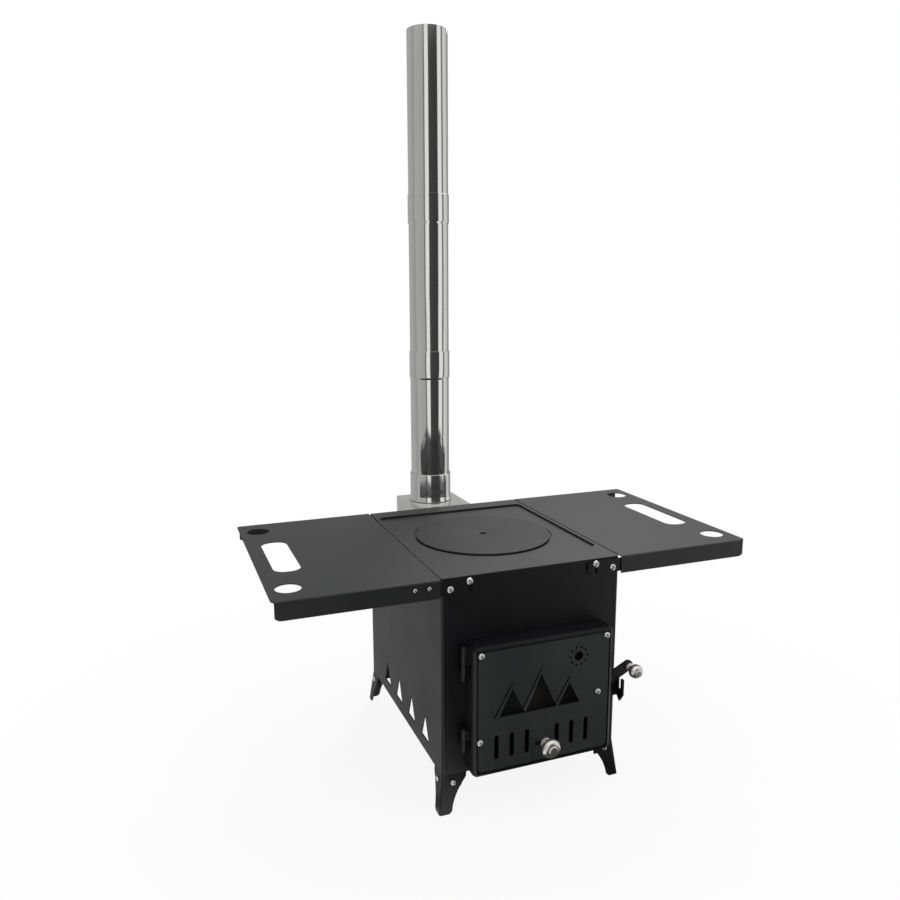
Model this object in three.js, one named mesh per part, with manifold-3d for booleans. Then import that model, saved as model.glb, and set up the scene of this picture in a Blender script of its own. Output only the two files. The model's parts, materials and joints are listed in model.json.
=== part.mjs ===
// A tent wood stove: a box of folded sheet steel on four stamped legs, with two fold-down shelves,
// a lift-out cooking plate, a hinged door with an air slide and a latch, and a three-piece flue pipe.
//
// Millimetres. +X is the stove's right seen from the front, +Y its back, +Z up. Inside this file the
// body's centre line is X = 0, Y = 0 and the ground is Z = 0. The last lines move the finished
// stove along Y, so that the origin is the middle of its footprint.

import * as THREE from 'three';
import { mergeVertices } from 'three/addons/utils/BufferGeometryUtils.js';
import Module from 'manifold-3d';

const wasm = await Module();
wasm.setup();

// ---------------------------------------------------------------- driving dimensions

const gap = 0.3; // between faces that rest on each other
const reach = 2; // how far a cutting tool runs past what it cuts

// Body shell
const sheet = 1.5;
const bodyWidth = 235;
const bodyDepth = 304;
const bodyTop = 295;
const bodyBottom = 47.5;
const cornerBend = 3;
const returnWidth = 6; // the side panels' folded returns at the four corners
const ventPitch = 54;
const ventCount = 4;
const ventFirstY = -90;
const ventWidth = 28;
const ventHeight = 33;
const ventBaseZ = 64;
const floorZ = 98;
const floorFlange = 14;

// Grate
const grateMargin = 29.5; // from the body's side to the grate
const grateDepth = 240;
const grateSheet = 2;
const grateHeight = 15;
const grateSlotWidth = 7;
const grateEnd = 18; // from the last slot to the grate's end
const grateSlotPitch = 19;
const grateBridge = 20; // solid sheet between the two rows of slots

// Cooking top
const recessSideBorder = 5;
const recessFrontBorder = 45;
const recessBackBorder = 27;
const recessDepth = 3;
const recessCorner = 8;
const plateCentreY = 2;
const plateRadius = 91;
const plateSheet = 3;
const plateRing = 3; // dark gap round the plate
const seatDepth = 4.3; // below the top face
const seatWidth = 8;
const locatorHeight = 4;
const liftHoleRadius = 4;

// Flue
const flueBoxWidth = 92;
const flueBoxDepth = 98;
const flueBoxHeight = 70;
const flueInlet = 6; // border between the box's walls and the hole in the back panel
const pipeY = 214;
const pipeRadius = 30;
const pipeWall = 0.8;
const collarHeight = 43.5;
const collarFlare = 2;
const collarFillet = 1;
const collarStop = 0.7; // how far the collar's foot reaches inside the pipe's bore
const socketLength = 40;
const socketTaper = 3;
const firstJointZ = 529;
const secondJointZ = 760.5;
const pipeTopZ = 989;

// Legs
const legFrontWidth = 31;
const legSideWidth = 27;
const legSplay = 6;
const footWidth = 13;
const footToe = 3; // the bevelled end of the foot
const legShoulder = 5; // straight part of the inner edge, under the body
const legCurveSteps = 5;
const legScrewInset = 13;
const legScrewZ = 38;
const legBracketWidth = 24;
const legBracketBottom = 30;
const legBracketTop = 62;

// Shelves
const shelfSheet = 1.2;
const shelfLength = 190.1;
const shelfFlange = 22;
const shelfBend = 2.5;
const shelfGap = 1.9; // between the shelf and the top
const shelfFlangeCorner = 11;
const shelfPlanCorner = 7;
const shelfHoleRadius = 15;
const shelfHoleInset = 24.5; // from the shelf's end
const shelfHoleEdge = 38; // from the shelf's long edge
const slotWidth = 33;
const slotLength = 124;
const slotCorner = 14;
const slotInset = 35.2;
const armGap = 0.4;
const armSheet = 1.5;
const armHeight = 17;
const armReach = 38.5; // out from the body's side
const armCorner = 7;
const shelfPivotInset = 10; // in from the body's side
const shelfPivotDrop = 13.2; // below the top face
const clampInset = 34;
const clampDrop = 6.3;
const clampMargin = 11; // from the clamp screw to the arm's end
const notchPlay = 1.1; // on each side of the clamp screw

// Door
const doorCentreX = 5;
const doorMargin = 24.5; // between the door and the body's side, on average
const doorBottom = 52;
const doorTop = 215;
const mouthMargin = 18; // from the door's side to the mouth in the front panel
const mouthBottom = 104;
const mouthTopMargin = 10;
const mouthCorner = 6;
const frameDepth = 11;
const frameFlange = 9;
const frameCorner = 6;
const panDepth = 13.5;
const panGap = 0.5;
const panBevel = 4;
const panRim = 5; // from the pan's edge to the front plate's recess
const plateGroove = 1.2;
const plateRecess = 2;
const panFlange = 5.5; // ledge behind the front plate
const windowCorner = 9;
const cornerScrewInset = 5; // from the recess's two edges
const lowScrewInset = 3.7;
const lowScrewRise = 40; // above the recess's lower edge
const linerGapY = 0.6;
const linerRise = 60; // above the door's lower edge
const linerTopInset = 8;
const linerSideInset = 14;

// Pierced pattern: three peaks, each with a line above its left slope, and a sun with dots round it
const peaks = [ // [from the door's middle, half width, height]
  [-43, 17, 34],
  [-5, 21, 46],
  [33, 15, 28],
];
const peakBase = 72; // above the door's lower edge
const peakBand = 5;
const peakLine = 2.6;
const peakSlope = 1.6; // rise of a peak's side to its run, roughly
const sunAside = 45; // from the door's middle
const sunDrop = 31; // below the door's upper edge
const sunRadius = 6;
const sunRing = 11.5;
const sunDot = 1.7;
const sunDots = 10;

// Air inlet
const airAside = -3; // from the door's middle to the middle of the slots
const airSlotPitch = 20;
const airSlotCount = 7;
const airSlotWidth = 6;
const airSlotRise = 19; // above the door's lower edge
const airSlotLength = 31;
const airTravel = 10;
const airSlideEnd = 3; // from the last slot to the slide's end
const airSlideMargin = 4;
const airSlideCorner = 2;
const airSlideSheet = 1.4;
const airKnobNutDepth = 2.4;
const airKnobNutWall = 1.9;
const airKnobAside = 0.5; // from the door's middle
const airKnobRise = 29; // above the door's lower edge

// Knobs and screws
const knobRadius = 12;
const knobLength = 25;
const latchKnobRadius = 9;
const latchKnobLength = 25;
const knobShank = 2.5;
const screwShank = 2;
const screwClearance = 0.3;
const shelfScrewHead = 4.3;
const doorScrewHead = 4;
const doorScrewShank = 1.5;
const legScrewHead = 3.6;
const screwHeadHeight = 2.6;
const screwHeadTop = 0.75; // the head's flat top, as a share of its radius
const shelfScrewLength = 9;
const legScrewLength = 6;

// Hinge
const hingeOffsetX = 6; // from the door's edge to the hinge line
const knuckleRadius = 3.5;
const hingePinRadius = 1.7;
const hingePinHead = 2;
const upperHingeBottom = 172;
const upperHingeTop = 212;
const lowerHingeBottom = 82;
const lowerHingeTop = 109;
const hingeLeaf = 1.5;

// Latch
const latchPivotInset = 20.5; // in from the door's right edge
const latchPivotRise = 81; // above the door's lower edge
const latchLength = 59;
const latchWidth = 14;
const latchSheet = 3;
const latchRest = 26; // degrees above level, unlatched
const latchDrop = 25; // degrees down to the keeper
const latchSlack = 0.6; // round the lever in its slot and notch
const latchInset = 9; // from the door's front face to the lever
const latchKnobReach = 52;
const latchNutLength = 1.5; // the screw and knob ends behind the lever
const keeperReach = 15; // from the door's right edge
const keeperSheet = 2.5;
const keeperRise = 58; // above the door's lower edge
const keeperHeight = 31;
const keeperStrapInset = 5;
const keeperNotchPlay = 1.5;
const keeperPoint = 10;
const keeperFootInset = 4.5; // its foot ends this far in front of the frame's back, clear of a folded shelf

// Finishes
const steelBlack = { color: 0x17181b, roughness: 0.55, metalness: 0.3 };
const steelTop = { color: 0x3c3e3f, roughness: 0.6, metalness: 0.3 };
const steelDark = { color: 0x202124, roughness: 0.7, metalness: 0.4 };
const stainless = { color: 0xc9cbcd, roughness: 0.18, metalness: 1.0 };
const screwMetal = { color: 0xb8babd, roughness: 0.25, metalness: 1.0 };

// ---------------------------------------------------------------- sizes worked out from these

const halfWidth = bodyWidth / 2;
const halfDepth = bodyDepth / 2;
const frontY = -halfDepth;
const backY = halfDepth;
const wallTop = bodyTop - sheet - gap;
const innerX = halfWidth - sheet - gap;
const innerY = halfDepth - sheet - gap;

const doorWidth = bodyWidth - 2 * doorMargin;
const doorLeft = doorCentreX - doorWidth / 2;
const doorRight = doorCentreX + doorWidth / 2;
const frameBackY = frontY - gap;
const frameFrontY = frontY - frameDepth;
const panBackY = frameFrontY - panGap;
const panFrontY = panBackY - panDepth;
const recessBackY = panFrontY + plateRecess;
const ledgeBackY = recessBackY + sheet;
const plateBackY = recessBackY - gap;
const plateFrontY = plateBackY - sheet;
const hingeX = doorLeft - hingeOffsetX;
const hingeY = frameFrontY;

const shelfPivotZ = bodyTop - shelfPivotDrop;
const clampZ = bodyTop - clampDrop;
const shelfPivotX = halfWidth - shelfPivotInset;
const clampX = halfWidth - clampInset;
const shelfInnerX = halfWidth + shelfGap;
const shelfEndX = shelfInnerX + shelfLength;
const armBackY = halfDepth + armGap;
const armFrontY = armBackY + armSheet;
const flangeInnerY = armFrontY + gap;
const shelfHalfDepth = flangeInnerY + shelfSheet;
const shelfHoleY = shelfHalfDepth - shelfHoleEdge;

// ---------------------------------------------------------------- shapes

// Which way a flat shape lies, and the world direction of its thickness.
const PLANES = {
  top: { u: [1, 0, 0], v: [0, 1, 0], n: [0, 0, 1] },
  front: { u: [1, 0, 0], v: [0, 0, 1], n: [0, -1, 0] },
  side: { u: [0, 1, 0], v: [0, 0, 1], n: [1, 0, 0] },
};

function rectangle(u0, u1, v0, v1, radius = 0) {
  const shape = new THREE.Shape();
  if (radius === 0) {
    shape.moveTo(u0, v0).lineTo(u1, v0).lineTo(u1, v1).lineTo(u0, v1).closePath();
    return shape;
  }
  shape.moveTo(u0 + radius, v0).lineTo(u1 - radius, v0);
  shape.absarc(u1 - radius, v0 + radius, radius, -Math.PI / 2, 0, false);
  shape.lineTo(u1, v1 - radius);
  shape.absarc(u1 - radius, v1 - radius, radius, 0, Math.PI / 2, false);
  shape.lineTo(u0 + radius, v1);
  shape.absarc(u0 + radius, v1 - radius, radius, Math.PI / 2, Math.PI, false);
  shape.lineTo(u0, v0 + radius);
  shape.absarc(u0 + radius, v0 + radius, radius, Math.PI, 1.5 * Math.PI, false);
  return shape;
}

function polygon(points) {
  return new THREE.Shape(points.map(([u, v]) => new THREE.Vector2(u, v)));
}

function disc(u, v, radius) {
  return new THREE.Shape().absarc(u, v, radius, 0, 2 * Math.PI, false);
}

// Turns a closed three.js geometry into a solid that can be joined and cut.
function solid(geometry) {
  const bare = new THREE.BufferGeometry();
  bare.setAttribute('position', geometry.getAttribute('position').clone());
  if (geometry.index) bare.setIndex(geometry.index.clone());
  const merged = mergeVertices(bare, 1e-4);
  const corners = merged.index.array;
  const kept = [];
  for (let i = 0; i < corners.length; i += 3) {
    const [a, b, c] = [corners[i], corners[i + 1], corners[i + 2]];
    if (a !== b && b !== c && c !== a) kept.push(a, b, c);
  }
  return new wasm.Manifold(new wasm.Mesh({
    numProp: 3,
    vertProperties: new Float32Array(merged.getAttribute('position').array),
    triVerts: new Uint32Array(kept),
  }));
}

// A flat shape given thickness between two places on its plane's own axis.
function slab(shape, plane, from, to, round = 3, bevel = 0) {
  const { u, v, n } = PLANES[plane];
  const facing = n[0] + n[1] + n[2];
  const [low, high] = [Math.min(from, to), Math.max(from, to)];
  const geometry = new THREE.ExtrudeGeometry(shape, {
    depth: high - low - 2 * bevel,
    curveSegments: round,
    bevelEnabled: bevel > 0,
    bevelThickness: bevel,
    bevelSize: bevel,
    bevelOffset: -bevel,
    bevelSegments: 2,
  });
  geometry.translate(0, 0, (facing > 0 ? low : -high) + bevel);
  const turn = new THREE.Matrix4().makeBasis(
    new THREE.Vector3(...u),
    new THREE.Vector3(...v),
    new THREE.Vector3(...n),
  );
  return solid(geometry.applyMatrix4(turn));
}

function block(x0, x1, y0, y1, z0, z1) {
  const geometry = new THREE.BoxGeometry(x1 - x0, y1 - y0, z1 - z0);
  geometry.translate((x0 + x1) / 2, (y0 + y1) / 2, (z0 + z1) / 2);
  return solid(geometry);
}

// A solid of revolution about a vertical line. The profile is a list of [radius, z].
function turned(profile, x, y, segments) {
  const points = [...profile, profile[0]].map(([r, z]) => new THREE.Vector2(r, z));
  const geometry = new THREE.LatheGeometry(points, segments);
  geometry.rotateX(Math.PI / 2);
  geometry.translate(x, y, 0);
  return solid(geometry);
}

// The same about a line along the view from the front. The profile is a list of [radius, forward],
// where forward is measured from the base towards -Y.
function turnedForward(profile, x, baseY, z, segments) {
  const points = [...profile, profile[0]].map(([r, out]) => new THREE.Vector2(r, out));
  const geometry = new THREE.LatheGeometry(points, segments);
  geometry.rotateX(Math.PI);
  geometry.translate(x, baseY, z);
  return solid(geometry);
}

function join(first, ...others) {
  return others.reduce((sum, other) => sum.add(other), first);
}

function cut(body, ...tools) {
  return tools.reduce((rest, tool) => rest.subtract(tool), body);
}

// The same solid reflected in the stove's middle planes: x or y is -1 to reflect it.
function reflected(body, x, y = 1) {
  const { vertProperties, triVerts } = body.getMesh();
  const places = Float32Array.from(vertProperties);
  const corners = Uint32Array.from(triVerts);
  for (let i = 0; i < places.length; i += 3) {
    places[i] *= x;
    places[i + 1] *= y;
  }
  if (x * y < 0) {
    for (let i = 0; i < corners.length; i += 3) {
      [corners[i], corners[i + 1]] = [corners[i + 1], corners[i]];
    }
  }
  return new wasm.Manifold(new wasm.Mesh({ numProp: 3, vertProperties: places, triVerts: corners }));
}

const stove = new THREE.Group();

function add(name, body, finish) {
  const { vertProperties, triVerts } = body.getMesh();
  const geometry = new THREE.BufferGeometry();
  geometry.setAttribute('position', new THREE.BufferAttribute(Float32Array.from(vertProperties), 3));
  geometry.setIndex(new THREE.BufferAttribute(Uint32Array.from(triVerts), 1));
  geometry.computeVertexNormals();
  const mesh = new THREE.Mesh(geometry, new THREE.MeshStandardMaterial(finish));
  mesh.name = name;
  stove.add(mesh);
}

const SIDES = [['left', -1], ['right', 1]];
const ENDS = [['front', 1], ['back', -1]];

// ---------------------------------------------------------------- fasteners and knobs

// A domed screw whose head sits on a front face at baseY, with its shank running back.
function frontScrew(x, baseY, z, headRadius, shankRadius, length) {
  return turnedForward([
    [0, -length],
    [shankRadius, -length],
    [shankRadius, 0],
    [headRadius, 0],
    [headRadius * screwHeadTop, screwHeadHeight],
    [0, screwHeadHeight],
  ], x, baseY, z, 12);
}

function frontHole(x, z, radius, fromY, toY) {
  return slab(disc(x, z, radius), 'front', fromY, toY, 6);
}

// A turned knob on a shank: a nut at its foot, a neck, a round head and a screw end in its face.
// The profile is in shares of the knob's radius and length.
const knobProfile = [
  [0.55, 0], [0.55, 0.17], [0.34, 0.19], [0.34, 0.42], [0.86, 0.5], [1, 0.66], [0.8, 0.86], [0.46, 0.92],
  [0.46, 1], [0, 1],
];

function knob(x, baseY, z, radius, length, shankLength) {
  return turnedForward([
    [0, -shankLength],
    [knobShank, -shankLength],
    [knobShank, 0],
    ...knobProfile.map(([r, out]) => [r * radius, out * length]),
  ], x, baseY, z, 20);
}

// ---------------------------------------------------------------- body shell

// One side wall: a flat web with rounded corners and a short return at the front and the back.
function sidePanel() {
  const outer = slab(
    rectangle(-halfWidth, halfWidth, -halfDepth, halfDepth, cornerBend), 'top', bodyBottom, wallTop, 4);
  const inner = slab(
    rectangle(-halfWidth + sheet, halfWidth - sheet, -halfDepth + sheet, halfDepth - sheet),
    'top', bodyBottom - reach, wallTop + reach);
  const others = block(
    -halfWidth - reach, halfWidth - returnWidth, -halfDepth - reach, halfDepth + reach,
    bodyBottom - reach, wallTop + reach);
  const vents = [];
  for (let i = 0; i < ventCount; i += 1) {
    const y = ventFirstY + i * ventPitch;
    const triangle = polygon([
      [y - ventWidth / 2, ventBaseZ],
      [y + ventWidth / 2, ventBaseZ],
      [y, ventBaseZ + ventHeight],
    ]);
    vents.push(slab(triangle, 'side', halfWidth - sheet - reach, halfWidth + reach));
  }
  return cut(outer, inner, others, ...vents);
}

// The flat sheet between the returns, with the four holes of the shelf arms.
function endPanel() {
  const half = halfWidth - returnWidth - gap;
  const sheetMetal = block(-half, half, frontY, frontY + sheet, bodyBottom, wallTop);
  const hole = screwShank + screwClearance;
  const holes = [-1, 1].flatMap((side) => [
    frontHole(side * shelfPivotX, shelfPivotZ, hole, frontY - reach, frontY + sheet + reach),
    frontHole(side * clampX, clampZ, hole, frontY - reach, frontY + sheet + reach),
  ]);
  return cut(sheetMetal, ...holes);
}

function mouth(fromY, toY) {
  const shape = rectangle(
    doorLeft + mouthMargin, doorRight - mouthMargin, mouthBottom, doorTop - mouthTopMargin, mouthCorner);
  return slab(shape, 'front', fromY, toY);
}

function fireboxFloor() {
  const plate = block(-innerX, innerX, -innerY, innerY, floorZ, floorZ + sheet);
  const flanges = [1, -1].map((end) => block(
    -innerX, innerX, Math.min(-end * innerY, -end * (innerY - sheet)),
    Math.max(-end * innerY, -end * (innerY - sheet)), floorZ - floorFlange, floorZ + sheet));
  return join(plate, ...flanges);
}

// A pierced plate standing on its two folded sides.
function grate() {
  const top = floorZ + sheet + gap + grateHeight;
  const half = halfWidth - grateMargin;
  const outer = block(-half, half, -grateDepth / 2, grateDepth / 2, floorZ + sheet + gap, top);
  const under = block(
    -half + grateSheet, half - grateSheet, -grateDepth / 2 - reach, grateDepth / 2 + reach,
    floorZ, top - grateSheet);
  const columns = Math.floor((2 * half - grateSlotPitch) / grateSlotPitch);
  const slots = [];
  for (let column = 0; column < columns; column += 1) {
    const x = (column - (columns - 1) / 2) * grateSlotPitch;
    const slot = rectangle(
      x - grateSlotWidth / 2, x + grateSlotWidth / 2, grateBridge / 2, grateDepth / 2 - grateEnd);
    const cutter = slab(slot, 'top', top - grateSheet - reach, top + reach);
    slots.push(cutter, reflected(cutter, 1, -1));
  }
  return cut(outer, under, ...slots);
}

// ---------------------------------------------------------------- cooking top

const recessZ = bodyTop - recessDepth;
const seatZ = bodyTop - seatDepth;
const recessFrontY = frontY + recessFrontBorder;
const recessBackEdgeY = backY - recessBackBorder;
const recessHalfWidth = halfWidth - recessSideBorder;
const seatRadius = plateRadius + plateRing;
const cookHoleRadius = plateRadius - seatWidth;
const cookPlateBottom = seatZ + gap;

function roundTool(radius, z0, z1) {
  return slab(disc(0, plateCentreY, radius), 'top', z0, z1, 24);
}

function topPlate() {
  const recess = (grow, z0, z1) => slab(rectangle(
    -recessHalfWidth - grow, recessHalfWidth + grow, recessFrontY - grow, recessBackEdgeY + grow,
    recessCorner + grow), 'top', z0, z1, 4);
  const rim = slab(
    rectangle(-halfWidth, halfWidth, frontY, backY, cornerBend), 'top', bodyTop - sheet, bodyTop, 4);
  const pressed = join(
    rim,
    recess(sheet, recessZ - sheet, bodyTop - sheet / 2),
    roundTool(seatRadius + sheet, seatZ - sheet, recessZ - sheet / 2));
  return cut(
    pressed,
    recess(0, recessZ, bodyTop + reach),
    roundTool(seatRadius, seatZ, bodyTop + reach),
    roundTool(cookHoleRadius, seatZ - sheet - reach, bodyTop + reach));
}

// The round plate that lifts out, with a ring underneath that keeps it central.
function cookPlate() {
  const z = cookPlateBottom;
  const ringOuter = cookHoleRadius - 2 * gap;
  return turned([
    [liftHoleRadius, z],
    [ringOuter - sheet, z],
    [ringOuter - sheet, z - locatorHeight],
    [ringOuter, z - locatorHeight],
    [ringOuter, z],
    [plateRadius, z],
    [plateRadius, z + plateSheet],
    [liftHoleRadius, z + plateSheet],
  ], 0, plateCentreY, 48);
}

// ---------------------------------------------------------------- flue

const boxTop = bodyTop - sheet;
const boxBottom = boxTop - flueBoxHeight;
const boxFrontY = backY + gap;
const boxBackY = boxFrontY + flueBoxDepth;
const collarInner = pipeRadius + gap;
const collarOuter = collarInner + sheet;
const collarBottom = boxTop + gap;
const collarTop = collarBottom + collarHeight;
const stopRadius = pipeRadius - pipeWall - collarStop;

function flueBox() {
  const half = flueBoxWidth / 2;
  const shell = slab(rectangle(-half, half, boxFrontY, boxBackY, cornerBend), 'top', boxBottom, boxTop, 4);
  const square = block(-half, half, boxFrontY, boxFrontY + cornerBend, boxBottom, boxTop);
  const hollow = block(
    -half + sheet, half - sheet, boxFrontY - reach, boxBackY - sheet, boxBottom + sheet, boxTop - sheet);
  const outlet = slab(disc(0, pipeY, stopRadius), 'top', boxTop - sheet - reach, boxTop + reach, 12);
  return cut(join(shell, square), hollow, outlet);
}

function flueHole() {
  const half = flueBoxWidth / 2 - flueInlet;
  return block(
    -half, half, backY - sheet - reach, backY + reach, boxBottom + flueInlet, boxTop - flueInlet);
}

function flueCollar() {
  return turned([
    [stopRadius, collarBottom],
    [collarOuter + collarFlare, collarBottom],
    [collarOuter + collarFlare, collarBottom + sheet],
    [collarOuter + collarFillet, collarBottom + collarFlare],
    [collarOuter, collarBottom + collarFlare + 2 * collarFillet],
    [collarOuter, collarTop],
    [collarInner, collarTop],
    [collarInner, collarBottom + sheet],
    [stopRadius, collarBottom + sheet],
  ], 0, pipeY, 32);
}

// One length of pipe. A socketed length is widened at its top, where the next one drops in and
// rests on the taper.
function pipeLength(bottom, top, socketed) {
  const inner = pipeRadius - pipeWall;
  if (!socketed) {
    return turned([[inner, bottom], [pipeRadius, bottom], [pipeRadius, top], [inner, top]], 0, pipeY, 32);
  }
  const mouthInner = collarInner;
  const mouthOuter = collarInner + pipeWall;
  const shoulder = top - socketLength;
  return turned([
    [inner, bottom],
    [pipeRadius, bottom],
    [pipeRadius, shoulder - socketTaper],
    [mouthOuter, shoulder],
    [mouthOuter, top],
    [mouthInner, top],
    [mouthInner, shoulder],
    [inner, shoulder - socketTaper],
  ], 0, pipeY, 32);
}

// ---------------------------------------------------------------- legs, built at the front right

const legTop = bodyBottom - gap;

function splayAt(z) {
  return legSplay * (legTop - z) / legTop;
}

function leg() {
  const angle = (z0, z1, inset, width, depth) => {
    const x1 = halfWidth - inset;
    const y0 = frontY + inset;
    return cut(
      slab(rectangle(x1 - 2 * width, x1, y0, y0 + 2 * depth, cornerBend), 'top', z0, z1, 4),
      slab(rectangle(
        x1 - 2 * width - reach, x1 - sheet, y0 + sheet, y0 + 2 * depth + reach),
      'top', z0 - reach, z1 + reach),
      block(x1 - 2 * width - reach, x1 - width, y0 - reach, y0 + 2 * depth + reach, z0 - reach, z1 + reach),
      block(x1 - 2 * width - reach, x1 + reach, y0 + depth, y0 + 2 * depth + reach, z0 - reach, z1 + reach));
  };
  // The outline of one face, measured inwards from the bend: a flat foot with a bevelled end, and
  // a hollow inner edge up to the body.
  const outline = (width, place) => {
    const points = [[-reach, 0], [footWidth, 0]];
    for (let i = 0; i <= legCurveSteps; i += 1) {
      const t = i / legCurveSteps;
      points.push([
        footWidth + footToe + (width - footWidth - footToe) * t * t,
        footToe + (legTop - legShoulder - footToe) * t,
      ]);
    }
    points.push([width + reach, legTop], [width + reach, legTop + reach], [-reach, legTop + reach]);
    return polygon(points.map(([u, z]) => [place(u), z]));
  };
  const frontCut = slab(
    outline(legFrontWidth, (u) => halfWidth - u), 'front', frontY - reach, frontY + legSideWidth + reach);
  const sideCut = slab(
    outline(legSideWidth, (u) => frontY + u), 'side', halfWidth - legFrontWidth - reach, halfWidth + reach);
  const straight = angle(0, legTop, 0, legFrontWidth, legSideWidth).intersect(frontCut).intersect(sideCut);
  const { vertProperties, triVerts } = straight.getMesh();
  const places = Float32Array.from(vertProperties);
  for (let i = 0; i < places.length; i += 3) {
    const out = splayAt(places[i + 2]);
    places[i] += out;
    places[i + 1] -= out;
  }
  const splayed = new wasm.Manifold(new wasm.Mesh({ numProp: 3, vertProperties: places, triVerts }));
  return cut(splayed, ...legHoles());
}

// Clearance holes for the two screws of a leg.
function legHoles() {
  const radius = screwShank + screwClearance;
  return [
    frontHole(halfWidth - legScrewInset, legScrewZ, radius, frontY - 2 * legSplay, frontY + legScrewLength),
    slab(
      disc(frontY + legScrewInset, legScrewZ, radius), 'side',
      halfWidth - legScrewLength, halfWidth + 2 * legSplay, 6),
  ];
}

// The angle inside the corner that joins a leg to the body.
function legBracket() {
  const x1 = innerX;
  const y0 = -innerY;
  const face = block(x1 - legBracketWidth, x1, y0, y0 + sheet, legBracketBottom, legBracketTop);
  const side = block(x1 - sheet, x1, y0, y0 + legBracketWidth, legBracketBottom, legBracketTop);
  return cut(join(face, side), ...legHoles());
}

function legScrews() {
  const base = halfDepth + splayAt(legScrewZ - legScrewHead) + gap / 2;
  const faceScrew = frontScrew(
    halfWidth - legScrewInset, -base, legScrewZ, legScrewHead, screwShank, legScrewLength);
  const sideGeometry = new THREE.BufferGeometry();
  const forward = frontScrew(
    frontY + legScrewInset, -(base - halfDepth + halfWidth), legScrewZ, legScrewHead, screwShank,
    legScrewLength).getMesh();
  sideGeometry.setAttribute(
    'position', new THREE.BufferAttribute(Float32Array.from(forward.vertProperties), 3));
  sideGeometry.setIndex(new THREE.BufferAttribute(Uint32Array.from(forward.triVerts), 1));
  sideGeometry.rotateZ(Math.PI / 2);
  return { face: faceScrew, side: solid(sideGeometry) };
}

// ---------------------------------------------------------------- shelves, built on the right

function shelf() {
  const under = bodyTop - shelfFlange;
  const low = under - 2 * shelfBend;
  const section = cut(
    slab(rectangle(-shelfHalfDepth, shelfHalfDepth, low, bodyTop, shelfBend), 'side', shelfInnerX, shelfEndX),
    slab(rectangle(
      -shelfHalfDepth + shelfSheet, shelfHalfDepth - shelfSheet, low - 2 * shelfBend, bodyTop - shelfSheet,
      shelfBend - shelfSheet), 'side', shelfInnerX - reach, shelfEndX + reach));
  // From the front: the flanges end in a round lower corner.
  const side = new THREE.Shape();
  side.moveTo(shelfInnerX - reach, under).lineTo(shelfEndX - shelfFlangeCorner, under);
  side.absarc(
    shelfEndX - shelfFlangeCorner, under + shelfFlangeCorner, shelfFlangeCorner, -Math.PI / 2, 0, false);
  side.lineTo(shelfEndX, bodyTop + reach).lineTo(shelfInnerX - reach, bodyTop + reach);
  const outline = rectangle(
    shelfInnerX - 2 * shelfPlanCorner, shelfEndX, -shelfHalfDepth, shelfHalfDepth, shelfPlanCorner);
  const slotX = shelfEndX - slotInset;
  const slot = rectangle(
    slotX - slotWidth / 2, slotX + slotWidth / 2, -slotLength / 2, slotLength / 2, slotCorner);
  const holes = [-1, 1].map((end) => slab(
    disc(shelfEndX - shelfHoleInset, end * shelfHoleY, shelfHoleRadius), 'top',
    bodyTop - shelfSheet - reach, bodyTop + reach, 12));
  return cut(
    section
      .intersect(slab(side, 'front', -shelfHalfDepth - reach, shelfHalfDepth + reach, 4))
      .intersect(slab(outline, 'top', under - reach, bodyTop + reach, 3)),
    slab(slot, 'top', bodyTop - shelfSheet - reach, bodyTop + reach, 3),
    ...holes);
}

// The arm riveted inside the shelf's flange. It turns on the outer screw. The notch comes off the
// inner screw when the shelf folds down.
function shelfArm() {
  const top = bodyTop - shelfBend;
  const bottom = top - armHeight;
  const bar = slab(
    rectangle(clampX - clampMargin, halfWidth + armReach, bottom, top, armCorner),
    'front', -armFrontY, -armBackY, 4);
  // Seen from the arm, the clamp screw follows an arc round the pivot. The notch is centred on it.
  const along = shelfPivotX - clampX;
  const notchX = shelfPivotX - (along + Math.hypot(along, clampZ - shelfPivotZ)) / 2;
  const notchWidth = 2 * (screwShank + notchPlay);
  const notchTop = clampZ + screwShank + armGap;
  const notch = join(
    slab(disc(notchX, notchTop - notchWidth / 2, notchWidth / 2), 'front',
      -armFrontY - reach, -armBackY + reach, 8),
    slab(rectangle(
      notchX - notchWidth / 2, notchX + notchWidth / 2, bottom - reach, notchTop - notchWidth / 2),
    'front', -armFrontY - reach, -armBackY + reach));
  const pivot = frontHole(
    shelfPivotX, shelfPivotZ, screwShank + screwClearance, -armFrontY - reach, -armBackY + reach);
  return cut(bar, notch, pivot);
}

function shelfScrew(x, z) {
  return frontScrew(x, -armFrontY - gap, z, shelfScrewHead, screwShank, shelfScrewLength);
}

// ---------------------------------------------------------------- door

function doorOutline(grow) {
  return rectangle(
    doorLeft - grow, doorRight + grow, doorBottom - grow, doorTop + grow, Math.max(frameCorner + grow, 0));
}

// A vertical hinge knuckle with a leaf running to the door's left edge.
function knuckle(z0, z1, leafY) {
  const barrel = new THREE.CylinderGeometry(knuckleRadius, knuckleRadius, z1 - z0, 14);
  barrel.rotateX(Math.PI / 2);
  barrel.translate(hingeX, hingeY, (z0 + z1) / 2);
  const leaf = block(
    hingeX, doorLeft + sheet / 2, Math.min(leafY, leafY + hingeLeaf), Math.max(leafY, leafY + hingeLeaf),
    z0, z1);
  return join(solid(barrel), leaf);
}

function pinBore(z0, z1) {
  const bore = new THREE.CylinderGeometry(
    hingePinRadius + screwClearance, hingePinRadius + screwClearance, z1 - z0 + 2 * reach, 14);
  bore.rotateX(Math.PI / 2);
  bore.translate(hingeX, hingeY, (z0 + z1) / 2);
  return solid(bore);
}

const HINGES = [['upper', upperHingeBottom, upperHingeTop], ['lower', lowerHingeBottom, lowerHingeTop]];

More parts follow.
